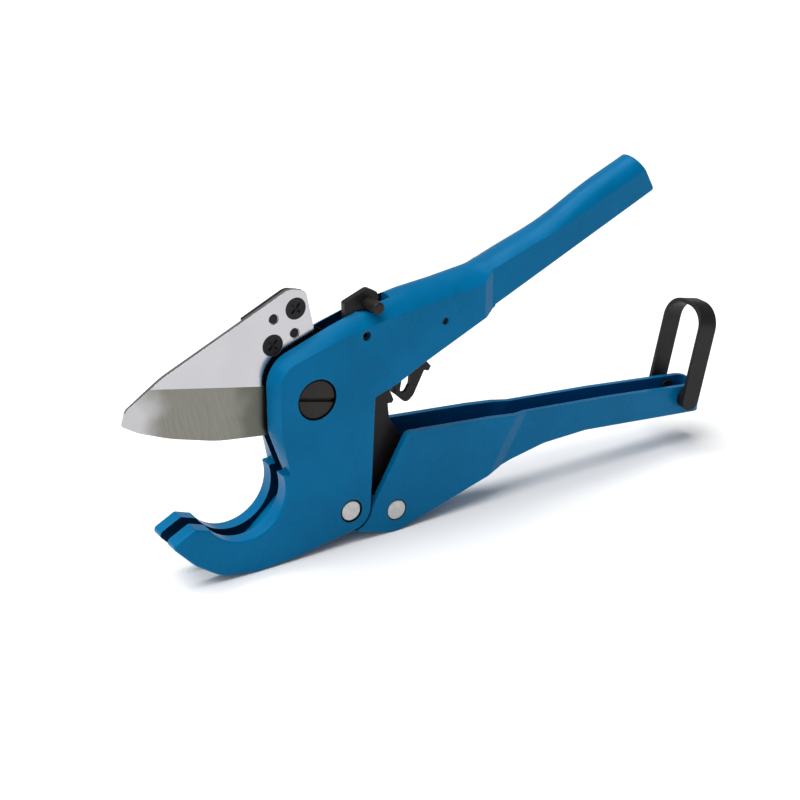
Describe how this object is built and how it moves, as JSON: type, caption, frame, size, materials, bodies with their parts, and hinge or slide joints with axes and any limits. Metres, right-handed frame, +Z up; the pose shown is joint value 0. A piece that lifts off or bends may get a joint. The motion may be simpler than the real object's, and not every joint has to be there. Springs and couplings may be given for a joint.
{
  "type": "plastic pipe cutter",
  "caption": "Ratcheting plastic pipe cutter: curved jaw, pointed swinging blade, hollow cast handles, pull trigger, lock latch and a strap-type closing bail.",
  "frame": {"origin": "middle of the tool's bounding box in X and Y, on the floor plane the jaw's underside and the lever's heel stand on", "axes": "+X from the blade tip towards the handle ends, +Y across the tool from the screw-head side to the nut side, +Z up; the blade and both handles swing in the X-Z plane"},
  "size_m": [0.2892, 0.0256, 0.1428],
  "materials": {
    "casting_paint": "blue powder coat on die-cast aluminium, slight orange peel, worn at the edges",
    "blade_steel": "polished sides with a finely ground cutting bevel",
    "black_steel": "black oxide, satin",
    "bright_steel": "zinc plated, satin",
    "screw_steel": "dark turned steel",
    "spring_steel": "oiled spring wire",
    "bush_brass": "plain turned"
  },
  "bodies": {
    "body": {"body_casting": "casting_paint", "pivot_screw": "screw_steel", "pivot_bush": "bush_brass", "pivot_washer": "screw_steel", "pivot_nut": "screw_steel", "hinge_rivet": "bright_steel", "trigger_pin": "screw_steel", "spring_pin": "screw_steel", "blade_return_spring": "spring_steel", "lever_return_spring": "spring_steel", "trigger_spring": "spring_steel"},
    "blade_unit": {"blade": "blade_steel", "blade_carrier": "black_steel", "blade_screws": "black_steel", "blade_dowels": "black_steel"},
    "lever": {"lever_casting": "casting_paint", "pawl_rivet": "bright_steel", "pawl_spacers": "bright_steel", "pawl_spring": "spring_steel", "bail_washers": "black_steel"},
    "pawl": {"drive_pawl": "black_steel"},
    "trigger_unit": {"trigger": "black_steel"},
    "latch": {"lock_latch": "black_steel", "latch_thumb_pin": "screw_steel"},
    "bail_unit": {"bail": "black_steel", "bail_studs": "black_steel", "bail_clips": "black_steel"}
  },
  "joints": [
    {"name": "blade_swing", "type": "hinge", "parent": "body", "child": "blade_unit", "pos_m": [-0.06479, 0, 0.06937], "axis": [0, -1, 0], "range_deg": [-6, 58], "deforming": ["blade_return_spring"]},
    {"name": "lever_swing", "type": "hinge", "parent": "body", "child": "lever", "pos_m": [-0.04979, 0, 0.01557], "axis": [0, -1, 0], "range_deg": [0, 20], "stiffness_Nm_per_rad": 0.35, "springref_deg": -25.78, "deforming": ["lever_return_spring"]},
    {"name": "drive_pawl_swing", "type": "hinge", "parent": "lever", "child": "pawl", "pos_m": [-0.02779, 0, 0.01007], "axis": [0, 1, 0], "range_deg": [0, 20], "deforming": ["pawl_spring"]},
    {"name": "trigger_pull", "type": "hinge", "parent": "body", "child": "trigger_unit", "pos_m": [-0.04149, 0, 0.09157], "axis": [0, -1, 0], "range_deg": [0, 8], "stiffness_Nm_per_rad": 0.05, "springref_deg": -11.46, "deforming": ["trigger_spring"]},
    {"name": "latch_swing", "type": "hinge", "parent": "body", "child": "latch", "pos_m": [-0.04149, 0, 0.09157], "axis": [0, -1, 0], "range_deg": [0, 15]},
    {"name": "bail_swing", "type": "hinge", "parent": "lever", "child": "bail_unit", "pos_m": [0.13071, 0, 0.02377], "axis": [0, -1, 0], "range_deg": [-110, 78]}
  ],
  "couplings": [
    {"joint": "drive_pawl_swing", "follows": "lever_swing", "ratio": 1}
  ]
}
